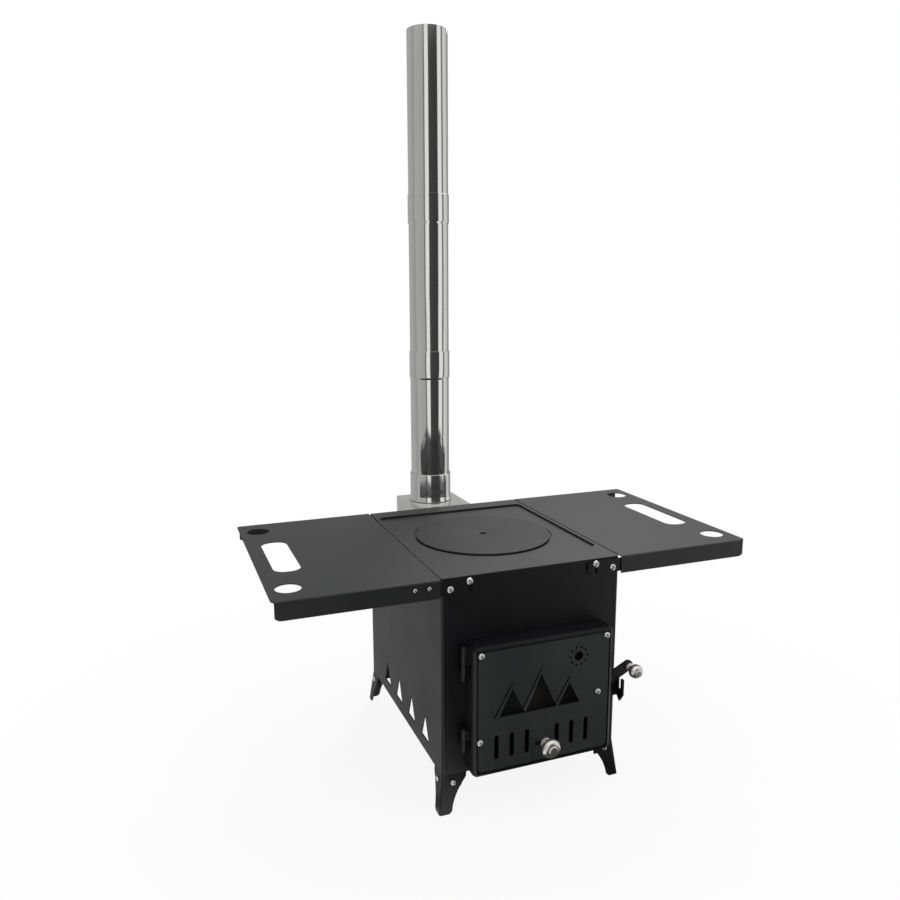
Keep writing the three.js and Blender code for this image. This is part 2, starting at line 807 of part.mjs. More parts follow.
// The collar on the front panel that the door closes on, with the lower hinge knuckles.
function doorFrame() {
  const ring = cut(
    slab(doorOutline(0), 'front', frameFrontY, frameBackY),
    slab(doorOutline(-sheet), 'front', frameFrontY - reach, frameBackY - sheet),
    slab(doorOutline(-frameFlange), 'front', frameFrontY - reach, frameBackY + reach));
  const knuckles = HINGES.map(([, z0, z1]) => knuckle(
    z0, (z0 + z1) / 2 - gap, hingeY + knuckleRadius - hingeLeaf));
  const bores = HINGES.map(([, z0, z1]) => pinBore(z0, z1));
  return cut(join(ring, ...knuckles), ...bores);
}

const recessLeft = doorLeft + panRim;
const recessRight = doorRight - panRim;
const recessBottom = doorBottom + panRim;
const recessTop = doorTop - panRim;
const doorScrewPlaces = [
  ['top_left', recessLeft + cornerScrewInset, recessTop - cornerScrewInset],
  ['top_right', recessRight - cornerScrewInset, recessTop - cornerScrewInset],
  ['bottom_left', recessLeft + lowScrewInset, recessBottom + lowScrewRise],
];
const latchPivotX = doorRight - latchPivotInset;
const latchPivotZ = doorBottom + latchPivotRise;
const latchDown = latchRest - latchDrop;

function doorScrewHoles(fromY, toY) {
  return doorScrewPlaces.map(([, x, z]) => frontHole(x, z, doorScrewShank + screwClearance, fromY, toY));
}

// The height of the latch lever's upper (side 1) or lower (side -1) edge at x, when it is turned to
// an angle above level.
function leverEdge(degrees, x, side) {
  const angle = THREE.MathUtils.degToRad(degrees);
  return latchPivotZ + (x - latchPivotX) * Math.tan(angle) + side * latchWidth / 2 / Math.cos(angle);
}

// The latch's screw hole goes through the front plate alone.
function latchHole() {
  return frontHole(latchPivotX, latchPivotZ, screwShank + screwClearance, panFrontY - reach, ledgeBackY + reach);
}

// The pressed door: rounded edges, a recess for the pierced plate with a ledge behind it, a slot in
// its right wall for the latch and the upper hinge knuckles.
function doorPan() {
  const pressed = cut(
    slab(doorOutline(0), 'front', panFrontY, panBackY + panBevel + reach, 3, panBevel),
    block(doorLeft - reach, doorRight + reach, panBackY, panBackY + 4 * panBevel, doorBottom - reach,
      doorTop + reach));
  const hollow = slab(doorOutline(-sheet), 'front', ledgeBackY, panBackY + reach);
  const recess = slab(
    rectangle(recessLeft, recessRight, recessBottom, recessTop, frameCorner), 'front',
    panFrontY - reach, recessBackY);
  const window = slab(rectangle(
    recessLeft + panFlange, recessRight - panFlange, recessBottom + panFlange, recessTop - panFlange,
    windowCorner), 'front', panFrontY - reach, panBackY + reach);
  const latchBack = panFrontY + latchInset;
  const latchSlot = block(
    doorRight - 2 * sheet, doorRight + reach, latchBack - latchSheet - latchSlack, latchBack + latchSlack,
    leverEdge(latchDown, doorRight - 2 * sheet, -1) - latchSlack,
    leverEdge(latchRest, doorRight, 1) + latchSlack);
  const knuckles = HINGES.map(([, z0, z1]) => knuckle(
    (z0 + z1) / 2 + gap, z1, hingeY - knuckleRadius));
  const bores = HINGES.map(([, z0, z1]) => pinBore(z0, z1));
  return cut(
    join(cut(pressed, hollow), ...knuckles),
    recess, window, latchSlot, ...bores, ...doorScrewHoles(panFrontY - reach, panBackY));
}

const airCentreX = doorCentreX + airAside;
const airSlotBottom = doorBottom + airSlotRise;
const airSlotTop = airSlotBottom + airSlotLength;
const airKnobX = doorCentreX + airKnobAside;
const airKnobZ = doorBottom + airKnobRise;
const nearRound = 0.01; // keeps a last straight edge between the two arcs of a round end

// The slots stand in a row with the knob in place of the middle one.
function airSlotPlaces() {
  const offsets = Array.from({ length: airSlotCount }, (_, i) => i - (airSlotCount - 1) / 2);
  return offsets.filter((offset) => offset !== 0).map((offset) => airCentreX + offset * airSlotPitch);
}

// The pierced front plate. Three peaks under a ring of round holes let the firelight through.
function doorPlate() {
  const plate = slab(rectangle(
    recessLeft + plateGroove, recessRight - plateGroove, recessBottom + plateGroove,
    recessTop - plateGroove, frameCorner), 'front', plateFrontY, plateBackY);
  const cuts = [];
  const through = (shape, round = 4) => cuts.push(
    slab(shape, 'front', plateFrontY - reach, plateBackY + reach, round));
  for (const x of airSlotPlaces()) {
    through(rectangle(
      x - airSlotWidth / 2, x + airSlotWidth / 2, airSlotBottom, airSlotTop, airSlotWidth / 2 - nearRound), 2);
  }
  // The knob's guide slot, as long as the slide's travel.
  const guide = knobShank + screwClearance;
  through(rectangle(
    airKnobX - airTravel - guide, airKnobX + guide, airKnobZ - guide, airKnobZ + guide, guide - nearRound), 3);
  const base = doorBottom + peakBase;
  for (const [aside, half, height] of peaks) {
    const x = doorCentreX + aside;
    through(polygon([[x - half, base], [x + half, base], [x, base + height]]));
    through(polygon([
      [x - half - peakBand - peakLine, base], [x - half - peakBand, base],
      [x, base + height + peakBand], [x, base + height + peakBand + peakLine * peakSlope],
    ]));
  }
  const sunX = doorCentreX + sunAside;
  const sunZ = doorTop - sunDrop;
  for (let i = 0; i < sunDots; i += 1) {
    const angle = (i / sunDots) * 2 * Math.PI;
    through(disc(sunX + sunRing * Math.cos(angle), sunZ + sunRing * Math.sin(angle), sunDot), 3);
  }
  through(disc(sunX, sunZ, sunRadius), 6);
  return cut(plate, ...cuts, latchHole(), ...doorScrewHoles(plateFrontY - reach, plateBackY + reach));
}

// A heat shield in the pan's hollow: its folded top and bottom rest on the ledge.
function doorLiner() {
  const x0 = doorLeft + linerSideInset;
  const x1 = doorRight - linerSideInset;
  const backFace = panBackY - linerGapY;
  const foldEnd = ledgeBackY + gap;
  const bottom = doorBottom + linerRise;
  const top = doorTop - linerTopInset;
  return join(
    block(x0, x1, backFace - sheet, backFace, bottom, top),
    block(x0, x1, foldEnd, backFace, top - sheet, top),
    block(x0, x1, foldEnd, backFace, bottom, bottom + sheet));
}

// ---------------------------------------------------------------- air inlet

const slideFrontY = plateBackY + gap;
const slideBackY = slideFrontY + airSlideSheet;

function airSlide() {
  const half = (airSlotCount - 1) / 2 * airSlotPitch + airSlotWidth / 2 + airSlideEnd;
  const body = slab(rectangle(
    airCentreX - half, airCentreX + half, airSlotBottom - airSlideMargin, airSlotTop + airSlideMargin,
    airSlideCorner), 'front', slideFrontY, slideBackY);
  const slots = airSlotPlaces().map((x) => slab(
    rectangle(x - airSlotWidth / 2, x + airSlotWidth / 2, airSlotBottom, airSlotTop),
    'front', slideFrontY - reach, slideBackY + reach));
  return cut(
    body, ...slots,
    frontHole(airKnobX, airKnobZ, knobShank + screwClearance, slideFrontY - reach, slideBackY + reach));
}

function airKnobNut() {
  const y = slideBackY + gap;
  return turnedForward([
    [knobShank + screwClearance, -airKnobNutDepth],
    [knobShank + screwClearance + airKnobNutWall, -airKnobNutDepth],
    [knobShank + screwClearance + airKnobNutWall, 0],
    [knobShank + screwClearance, 0],
  ], airKnobX, y, airKnobZ, 12);
}

// ---------------------------------------------------------------- latch

const latchFrontY = panFrontY + latchInset - latchSheet;
const latchBackY = panFrontY + latchInset;

function latchPoint(distance, aside = 0) {
  const angle = THREE.MathUtils.degToRad(latchRest);
  return [
    latchPivotX + distance * Math.cos(angle) - aside * Math.sin(angle),
    latchPivotZ + distance * Math.sin(angle) + aside * Math.cos(angle),
  ];
}

function latchLever() {
  const half = latchWidth / 2;
  const angle = THREE.MathUtils.degToRad(latchRest);
  const [tailX, tailZ] = latchPoint(0);
  const [tipX, tipZ] = latchPoint(latchLength - half);
  const bar = new THREE.Shape();
  bar.absarc(tailX, tailZ, half, angle + Math.PI / 2, angle + 1.5 * Math.PI, false);
  bar.absarc(tipX, tipZ, half, angle - Math.PI / 2, angle + Math.PI / 2, false);
  const [knobX, knobZ] = latchPoint(latchKnobReach);
  return cut(
    slab(bar, 'front', latchFrontY, latchBackY, 6),
    frontHole(latchPivotX, latchPivotZ, screwShank + screwClearance, latchFrontY - reach, latchBackY + reach),
    frontHole(knobX, knobZ, knobShank + screwClearance, latchFrontY - reach, latchBackY + reach));
}

// The catch on the frame's right side: a foot on the frame, a strap, and a notched upright plate.
function latchKeeper() {
  const keeperX = doorRight + keeperReach;
  const keeperBottom = doorBottom + keeperRise;
  const keeperTop = keeperBottom + keeperHeight;
  const strapY0 = frameFrontY + keeperSheet;
  const [strapBottom, strapTop] = [keeperBottom + keeperStrapInset, keeperTop - keeperStrapInset];
  const foot = block(
    doorRight + gap, doorRight + gap + keeperSheet, frameFrontY, frameBackY - keeperFootInset,
    strapBottom, strapTop);
  const strap = block(
    doorRight + gap, keeperX + keeperSheet, frameFrontY, strapY0, strapBottom, strapTop);
  const outline = polygon([
    [strapY0, keeperTop],
    [panFrontY, keeperTop],
    [panFrontY, keeperBottom + keeperPoint],
    [(panFrontY + frameFrontY) / 2, keeperBottom],
    [strapY0, keeperBottom + keeperPoint],
  ]);
  const plate = slab(outline, 'side', keeperX, keeperX + keeperSheet);
  const notch = block(
    keeperX - reach, keeperX + keeperSheet + reach, latchFrontY - keeperNotchPlay,
    latchBackY + keeperNotchPlay, leverEdge(latchDown, keeperX, -1) - latchSlack, keeperTop + reach);
  return cut(join(foot, strap, plate), notch);
}

// ---------------------------------------------------------------- assembly

const right = sidePanel();
add('right_side_panel', right, steelBlack);
add('left_side_panel', reflected(right, -1), steelBlack);
const end = endPanel();
add('front_panel', cut(end, mouth(frontY - reach, frontY + sheet + reach)), steelBlack);
add('back_panel', cut(reflected(end, 1, -1), flueHole()), steelBlack);
add('firebox_floor', fireboxFloor(), steelDark);
add('fire_grate', grate(), steelDark);
add('top_plate', topPlate(), steelTop);
add('cook_plate', cookPlate(), steelTop);

add('flue_box', flueBox(), stainless);
add('flue_collar', flueCollar(), stainless);
add('chimney_lower', pipeLength(collarBottom + sheet + gap, firstJointZ, true), stainless);
add('chimney_middle', pipeLength(firstJointZ - socketLength, secondJointZ, true), stainless);
add('chimney_upper', pipeLength(secondJointZ - socketLength, pipeTopZ, false), stainless);

const frontRightLeg = leg();
const frontRightBracket = legBracket();
const frontRightScrews = legScrews();
const rightArm = shelfArm();
for (const [sideName, x] of SIDES) {
  for (const [endName, y] of ENDS) {
    const place = `${endName}_${sideName}`;
    add(`leg_${place}`, reflected(frontRightLeg, x, y), steelBlack);
    add(`leg_bracket_${place}`, reflected(frontRightBracket, x, y), steelDark);
    add(`leg_face_screw_${place}`, reflected(frontRightScrews.face, x, y), screwMetal);
    add(`leg_side_screw_${place}`, reflected(frontRightScrews.side, x, y), screwMetal);
    add(`shelf_arm_${place}`, reflected(rightArm, x, y), steelBlack);
    add(`shelf_pivot_screw_${place}`, reflected(shelfScrew(shelfPivotX, shelfPivotZ), x, y), screwMetal);
    add(`shelf_clamp_screw_${place}`, reflected(shelfScrew(clampX, clampZ), x, y), screwMetal);
  }
}
const rightShelf = shelf();
for (const [sideName, x] of SIDES) {
  add(`${sideName}_shelf`, reflected(rightShelf, x), steelTop);
}

add('door_frame', doorFrame(), steelBlack);
add('door_pan', doorPan(), steelBlack);
add('door_plate', doorPlate(), steelBlack);
add('door_liner', doorLiner(), steelDark);
for (const [place, x, z] of doorScrewPlaces) {
  const screw = frontScrew(
    x, plateFrontY - gap, z, doorScrewHead, doorScrewShank, plateRecess + sheet + gap);
  add(`door_screw_${place}`, screw, screwMetal);
}
for (const [name, z0, z1] of HINGES) {
  add(`hinge_pin_${name}`, turned([
    [0, z0 - gap],
    [hingePinRadius, z0 - gap],
    [hingePinRadius, z1 + gap],
    [knuckleRadius, z1 + gap],
    [knuckleRadius, z1 + hingePinHead],
    [0, z1 + hingePinHead],
  ], hingeX, hingeY, 14), steelBlack);
}

add('air_slide', airSlide(), steelDark);
const airKnobShank = slideBackY + gap + airKnobNutDepth - (plateFrontY - gap);
add('air_knob', knob(
  airKnobX, plateFrontY - gap, airKnobZ, knobRadius, knobLength, airKnobShank), stainless);
add('air_knob_nut', airKnobNut(), screwMetal);
add('latch_lever', latchLever(), steelBlack);
add('latch_screw', frontScrew(
  latchPivotX, plateFrontY - gap, latchPivotZ, doorScrewHead, screwShank,
  latchBackY - plateFrontY + latchNutLength), screwMetal);
const [latchKnobX, latchKnobZ] = latchPoint(latchKnobReach);
add('latch_knob', knob(
  latchKnobX, latchFrontY - gap, latchKnobZ, latchKnobRadius, latchKnobLength,
  latchSheet + latchNutLength), stainless);
add('latch_keeper', latchKeeper(), steelBlack);

// The origin is the middle of the stove's footprint, on the ground.
stove.updateMatrixWorld(true);
const middle = new THREE.Box3().setFromObject(stove, true).getCenter(new THREE.Vector3());
stove.position.set(-middle.x, -middle.y, 0);

export default stove;
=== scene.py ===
# %% [markdown]
# # A tent wood stove
# The stove is a box of folded sheet steel with a heat-proof powder coat, on four stamped legs.
# Two shelves fold down at its sides, a round plate lifts out of its top, and a bright stainless
# pipe stands on a box behind it. The fixed frame already holds every piece at its real size, so
# this lesson works on what the eye reads next: soft folded edges, turned metal, screws and
# finishes.

# %% The fixed frame
import json
import math

import bmesh
import bpy
from mathutils import Matrix, Quaternion, Vector


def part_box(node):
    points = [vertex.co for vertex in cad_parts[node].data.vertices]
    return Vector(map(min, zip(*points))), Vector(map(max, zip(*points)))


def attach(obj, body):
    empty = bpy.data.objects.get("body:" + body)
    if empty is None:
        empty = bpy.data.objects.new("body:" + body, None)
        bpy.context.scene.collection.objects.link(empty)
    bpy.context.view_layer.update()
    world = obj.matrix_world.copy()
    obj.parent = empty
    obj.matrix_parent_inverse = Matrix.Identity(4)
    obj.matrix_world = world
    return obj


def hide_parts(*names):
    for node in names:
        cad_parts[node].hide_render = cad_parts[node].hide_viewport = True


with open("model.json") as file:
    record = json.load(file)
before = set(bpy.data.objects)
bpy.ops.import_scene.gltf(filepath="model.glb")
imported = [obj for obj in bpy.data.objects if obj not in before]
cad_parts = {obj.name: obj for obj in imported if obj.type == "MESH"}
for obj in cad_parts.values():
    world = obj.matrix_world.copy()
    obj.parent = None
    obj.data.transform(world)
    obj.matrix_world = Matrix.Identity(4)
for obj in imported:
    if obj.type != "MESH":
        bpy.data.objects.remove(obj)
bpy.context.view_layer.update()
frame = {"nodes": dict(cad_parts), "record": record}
MM = 0.001
BODY_OF = {
    node: body
    for body, nodes in frame["record"]["behaviour"]["bodies"].items()
    for node in nodes
}
SLOT_OF = {row["node"]: row["material_slot"] for row in frame["record"]["subparts"]}

# %% [markdown]
# ## The camera
# The photograph was taken from the stove's front left, a little above its top. A camera could be
# turned by hand until it looks right. Here it was matched to the stove's corners, which gives the
# turn below and the place, in metres from the middle of the stove's body. The body's middle comes
# from the frame, as every size does that the frame has.

# %% The camera
CAMERA_FROM_BODY = Vector((-0.4198, -0.9705, 0.6085))
CAMERA_YAW = math.radians(20.95)
CAMERA_PITCH = math.radians(-10.66)
CAMERA_ROLL = math.radians(-0.17)
SENSOR_WIDTH = 36.0
FOCAL_PIXELS = 805.6
PICTURE_WIDTH = 900

top_low, top_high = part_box("top_plate")
body_middle = (top_low + top_high) / 2
body_middle.z = 0
camera_data = bpy.data.cameras.new("camera")
camera_data.sensor_width = SENSOR_WIDTH
camera_data.lens = FOCAL_PIXELS / PICTURE_WIDTH * SENSOR_WIDTH
camera = bpy.data.objects.new("camera", camera_data)
bpy.context.collection.objects.link(camera)
looking = Vector((
    math.sin(CAMERA_YAW) * math.cos(CAMERA_PITCH),
    math.cos(CAMERA_YAW) * math.cos(CAMERA_PITCH),
    math.sin(CAMERA_PITCH),
))
camera.location = body_middle + CAMERA_FROM_BODY
camera.rotation_mode = "QUATERNION"
camera.rotation_quaternion = looking.to_track_quat("-Z", "Y") @ Quaternion((0, 0, 1), CAMERA_ROLL)
bpy.context.scene.camera = camera
print("lens:", round(camera_data.lens, 2), "mm")

# %% [markdown]
# ## Colours and nodes
# Colours are written as the sRGB hex values that a colour picker shows, and one function turns
# them into the linear values that shaders use. Another adds a shader node with its settings and
# links, so that a material reads as a short list.


# %% Colour and node helpers
def linear(hex_colour):
    """Turns "#rrggbb" into linear red, green, blue and alpha, by the sRGB standard's curve."""
    channels = [int(hex_colour[i:i + 2], 16) / 255 for i in (1, 3, 5)]
    return [c / 12.92 if c <= 0.04045 else ((c + 0.055) / 1.055) ** 2.4 for c in channels] + [1.0]


def add_node(tree, kind, settings=None, inputs=None):
    """Adds one node. A setting is a property of it. An input is a value, or an output to link."""
    made = tree.nodes.new(kind)
    for key, value in (settings or {}).items():
        setattr(made, key, value)
    for key, value in (inputs or {}).items():
        if isinstance(value, bpy.types.NodeSocket):
            tree.links.new(value, made.inputs[key])
        else:
            made.inputs[key].default_value = value
    return made


def new_material(name):
    """A material with one plain shader, and the piece's own coordinates to place patterns by."""
    material = bpy.data.materials.new(name)
    material.use_nodes = True
    tree = material.node_tree
    tree.nodes.clear()
    output = add_node(tree, "ShaderNodeOutputMaterial")
    shader = add_node(tree, "ShaderNodeBsdfPrincipled")
    tree.links.new(shader.outputs[0], output.inputs[0])
    place = add_node(tree, "ShaderNodeTexCoord").outputs["Object"]
    return material, tree, shader, place


print("black is", linear("#000000"), "and white is", linear("#ffffff"))

# %% [markdown]
# ## Patterns
# No real surface has one colour or one gloss all over. Noise that is laid on in real millimetres
# gives wear, dust and grain, and two small ramps turn it into a colour or into a number.


# %% Pattern helpers
def noise(tree, place, size_mm, detail=2.0, stretch=(1, 1, 1)):
    """Noise whose blobs are about size_mm across. A stretch below 1 draws them out that way."""
    scaled = add_node(tree, "ShaderNodeMapping", inputs={"Vector": place, "Scale": stretch})
    made = add_node(tree, "ShaderNodeTexNoise", inputs={
        "Vector": scaled.outputs["Vector"], "Scale": 1 / (size_mm * MM), "Detail": detail})
    return made.outputs["Fac"]


def shades(tree, factor, low, high, low_at=0.3, high_at=0.7):
    """A ramp from one colour to another as factor rises."""
    ramp = add_node(tree, "ShaderNodeValToRGB", inputs={"Fac": factor})
    ramp.color_ramp.elements[0].color = linear(low)
    ramp.color_ramp.elements[0].position = low_at
    ramp.color_ramp.elements[1].color = linear(high)
    ramp.color_ramp.elements[1].position = high_at
    return ramp.outputs["Color"]


def spread(tree, factor, low, high):
    """A number that runs from low to high as factor runs from 0 to 1."""
    mapped = add_node(
        tree, "ShaderNodeMapRange", inputs={"Value": factor, "To Min": low, "To Max": high})
    return mapped.outputs["Result"]


def finish_shader(tree, shader, colour, roughness, height, strength, depth):
    """Links a colour, a roughness and a bump of the given depth in metres to a shader."""
    bump = add_node(tree, "ShaderNodeBump", inputs={
        "Height": height, "Strength": strength, "Distance": depth})
    tree.links.new(colour, shader.inputs["Base Color"])
    tree.links.new(roughness, shader.inputs["Roughness"])
    tree.links.new(bump.outputs["Normal"], shader.inputs["Normal"])


print("noise scale for blobs of 1 mm:", round(1 / MM))

# %% [markdown]
# ## Powder coat
# Black silicone-polyester powder, baked on mild steel. The powder melts into a skin with a faint
# orange peel, so highlights break up softly. A plain dark shader would look like plastic, and a
# picture of paint would show its edges, so the peel is noise. Its real grain of about 0.6 mm is
# too fine for the picture and is drawn at 1.6 mm. Handling leaves the coat a little smoother in
# large soft patches, and fine ash dust greys it in specks. The flat tops and the door's plate are
# duller than the body and a little paler.

# %% Powder coat
PATCH_MM = 70
PEEL_MM = 1.6
PEEL_DEPTH = 0.4 * MM
ASH_SPECK_MM = 3.2
ASH_COLOUR = "#35363a"
ASH_FROM, ASH_FULL = 0.66, 0.78
SMOOTHER, ROUGHER = 0.05, 0.06
RESIN_IOR = 1.5


def powder_coat(name, dark, pale, roughness, peel=0.06):
    material, tree, shader, place = new_material(name)
    patches = noise(tree, place, PATCH_MM, detail=3)
    peel_grain = noise(tree, place, PEEL_MM)
    specks = noise(tree, place, ASH_SPECK_MM, detail=4)
    dusted = add_node(tree, "ShaderNodeMix", {"data_type": "RGBA"}, {
        "Factor": shades(tree, specks, "#000000", "#ffffff", ASH_FROM, ASH_FULL),
        "A": shades(tree, patches, dark, pale),
        "B": linear(ASH_COLOUR),
    })
    gloss = spread(tree, patches, roughness - SMOOTHER, roughness + ROUGHER)
    finish_shader(tree, shader, dusted.outputs["Result"], gloss, peel_grain, peel, PEEL_DEPTH)
    shader.inputs["IOR"].default_value = RESIN_IOR
    return material


body_coat = powder_coat("powder_coat_body", "#090a0e", "#0e0f13", 0.42)
door_coat = powder_coat("powder_coat_door", "#282a2b", "#303232", 0.48)
top_coat = powder_coat("powder_coat_top", "#1c1d1d", "#252626", 0.5, peel=0.09)
plate_coat = powder_coat("powder_coat_cooking_plate", "#151617", "#1d1e1e", 0.57, peel=0.12)
print("coats:", [coat.name for coat in (body_coat, door_coat, top_coat, plate_coat)])

# %% [markdown]
# ## Bare and bright metals
# The pipe is thin stainless sheet, rolled and polished to a mirror: metallic, with a roughness
# near 0.1 and long faint waves from rolling that bend its reflections. The box under it is satin
# sheet. The knobs are chrome plated, and the screws are zinc plated, which leaves both softer
# than a mirror. One function makes all four, because they differ in colour, polish and waves
# alone. The polish's lines, some hundredths of a millimetre apart, are drawn as soft streaks of
# 2.5 mm.

# %% Bright metals
LINE_MM = 2.5
WAVE_STRETCH = (1, 1, 0.35)
WAVE_DEPTH = 1.0 * MM
LINE_SHADE = 0.93
SMOOTHEST, ROUGHEST = 0.8, 1.3
ALONG_PIPE = (1, 1, 0.04)
ROLLED_SOFT = (0.04, 0.04, 0.04)


def bright_metal(name, colour, roughness, wave_mm, wave, grain=(1, 1, 1)):
    material, tree, shader, place = new_material(name)
    waves = noise(tree, place, wave_mm, detail=1, stretch=WAVE_STRETCH)
    lines = noise(tree, place, LINE_MM, stretch=grain)
    tint = add_node(tree, "ShaderNodeMix", {"data_type": "RGBA"}, {
        "Factor": lines,
        "A": linear(colour),
        "B": [c * LINE_SHADE for c in linear(colour)[:3]] + [1.0],
    })
    gloss = spread(tree, lines, roughness * SMOOTHEST, roughness * ROUGHEST)
    finish_shader(tree, shader, tint.outputs["Result"], gloss, waves, wave, WAVE_DEPTH)
    shader.inputs["Metallic"].default_value = 1.0
    return material


pipe_steel = bright_metal("polished_stainless", "#dcdcdb", 0.085, 45, 0.45, grain=ALONG_PIPE)
box_steel = bright_metal("satin_stainless", "#dedddb", 0.24, 60, 0.2, grain=ROLLED_SOFT)
knob_chrome = bright_metal("satin_chrome_plate", "#f0eee8", 0.3, 12, 0.05)
screw_zinc = bright_metal("zinc_plate", "#e8e9ea", 0.3, 4, 0.1)
print("metals:", [metal.name for metal in (pipe_steel, box_steel, knob_chrome, screw_zinc)])

# %% [markdown]
# ## Fire scale
# The floor, the grate and the air slide are bare steel that fire has scaled. Scale is a
# brown-grey oxide, dull and gritty, with the metal showing through in part. So it is half
# metallic and rough, its patches are some 30 mm across, and a grit of 1.5 mm breaks up what gloss
# is left.

# %% Fire scale
SCALE_PATCH_MM = 30
GRIT_MM = 1.5
GRIT_STRENGTH = 0.3
GRIT_DEPTH = 0.4 * MM
METAL_SHOWING = 0.5

inner_steel, tree, shader, place = new_material("scaled_steel")
patches = noise(tree, place, SCALE_PATCH_MM, detail=5)
grit = noise(tree, place, GRIT_MM, detail=3)
scale_colour = shades(tree, patches, "#17171a", "#2b2724")
scale_gloss = spread(tree, patches, 0.6, 0.85)
finish_shader(tree, shader, scale_colour, scale_gloss, grit, GRIT_STRENGTH, GRIT_DEPTH)
shader.inputs["Metallic"].default_value = METAL_SHOWING

FINISH = {
    "black_steel": body_coat,
    "top_steel": top_coat,
    "inner_steel": inner_steel,
    "stainless": pipe_steel,
    "knob_metal": knob_chrome,
    "screw_metal": screw_zinc,
}
OWN_FINISH = {"flue_box": box_steel, "door_plate": door_coat}
print("finishes:", sorted(FINISH))

# %% [markdown]
# ## Finishing the folded sheet
# Sheet that has been cut and folded never has a knife edge: each edge is broken by a third of a
# millimetre or so, and that catches a thin line of light. The edges could be rounded in each
# mesh. A bevel modifier limited by angle gives the same to every frame piece without touching its
# mesh. A weld modifier first joins the corners that the file format keeps apart.

# %% Broken edges on the frame's pieces
BROKEN_EDGE = 0.35 * MM
EDGE_SEGMENTS = 2
FOLD_ANGLE = math.radians(40)
SAME_CORNER = 0.01 * MM


def dress(node):
    piece = frame["nodes"][node]
    piece.data.materials.clear()
    piece.data.materials.append(OWN_FINISH.get(node, FINISH[SLOT_OF[node]]))
    weld = piece.modifiers.new("weld", "WELD")
    weld.merge_threshold = SAME_CORNER
    bevel = piece.modifiers.new("broken_edges", "BEVEL")
    bevel.width = BROKEN_EDGE
    bevel.segments = EDGE_SEGMENTS
    bevel.limit_method = "ANGLE"
    bevel.angle_limit = FOLD_ANGLE
    bevel.harden_normals = True
    for face in piece.data.polygons:
        face.use_smooth = True
    smooth = piece.modifiers.new("even_shading", "WEIGHTED_NORMAL")
    smooth.keep_sharp = True


for name in frame["nodes"]:
    dress(name)
print("dressed", len(frame["nodes"]), "pieces")

# %% [markdown]
# ## Turned pieces
# Pipe, collar, plate, knobs and screws are all made on a lathe or rolled round, so each is a
# profile swept round a line. The frame's own solids have few sides. These have enough to look
# round close up, and take their sizes from the piece that they stand for.

# %% Making a piece
SHARP_ANGLE = math.radians(32)


def mesh_object(name, mesh_builder, material, body):
    """Makes a piece from a function that fills a bmesh, and puts it on its body and slot."""
    mesh = bpy.data.meshes.new(name)
    bm = bmesh.new()
    mesh_builder(bm)
    bmesh.ops.recalc_face_normals(bm, faces=bm.faces)
    bm.to_mesh(mesh)
    bm.free()
    mesh.materials.append(material)
    mesh.polygons.foreach_set("use_smooth", [True] * len(mesh.polygons))
    mesh.set_sharp_from_angle(angle=SHARP_ANGLE)
    made = bpy.data.objects.new(name, mesh)
    bpy.context.collection.objects.link(made)
    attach(made, body)
    return made


print("edges sharper than", round(math.degrees(SHARP_ANGLE)), "degrees stay crisp")

# %% Lathe
ON_AXIS = 1e-7
EDGE_SHARE = 0.45


def sweep(bm, profile, turn, steps):
    """Sweeps a closed profile of (radius, height) in metres round Z, then places it by turn."""
    rings = []
    for radius, height in profile:
        if radius < ON_AXIS:
            rings.append([bm.verts.new(turn @ Vector((0, 0, height)))] * steps)
            continue
        ring = []
        for i in range(steps):
            angle = 2 * math.pi * i / steps
            spot = Vector((radius * math.cos(angle), radius * math.sin(angle), height))
            ring.append(bm.verts.new(turn @ spot))
        rings.append(ring)
    for lower, upper in zip(rings, rings[1:] + rings[:1]):
        for i in range(steps):
            j = (i + 1) % steps
            corners = []
            for vert in (lower[i], lower[j], upper[j], upper[i]):
                if vert not in corners:
                    corners.append(vert)
            if len(corners) > 2:
                bm.faces.new(corners)


def rounded(profile, radius, steps=3):
    """Rounds each corner of a closed profile whose third value is true."""
    made = []
    count = len(profile)
    for i, (r, h, soft) in enumerate(profile):
        here = Vector((r, h))
        if not soft:
            made.append((r, h))
            continue
        before = Vector(profile[i - 1][:2]) - here
        after = Vector(profile[(i + 1) % count][:2]) - here
        reach = min(radius, before.length * EDGE_SHARE, after.length * EDGE_SHARE)
        start, end = here + before.normalized() * reach, here + after.normalized() * reach
        for k in range(steps + 1):
            t = k / steps
            point = start * (1 - t) ** 2 + here * 2 * t * (1 - t) + end * t ** 2
            made.append((point.x, point.y))
    return made


print("a corner is rounded over at most", EDGE_SHARE, "of its edge")

# %% [markdown]
# ## The flue pipe
# Each length is rolled from one sheet. The lower two are opened out at the top, over a short
# taper, into a socket for the next length. The uppermost ends plain, with its edge dulled. A
# cylinder with a wider one on it would show a hard step, so wall, taper and socket are one
# profile.

# %% The flue pipe
PIPE_STEPS = 160
PIPE_WALL = 0.8 * MM
PIPE_EDGE = 0.6 * MM
SOCKET_LENGTH = 40 * MM
SOCKET_TAPER = 3 * MM
SOCKET_GROWTH = 1.1 * MM
pipe_low, pipe_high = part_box("chimney_upper")
pipe_radius = (pipe_high.x - pipe_low.x) / 2
pipe_axis = Vector(((pipe_low.x + pipe_high.x) / 2, (pipe_low.y + pipe_high.y) / 2, 0))
pipe_turn = Matrix.Translation(pipe_axis)


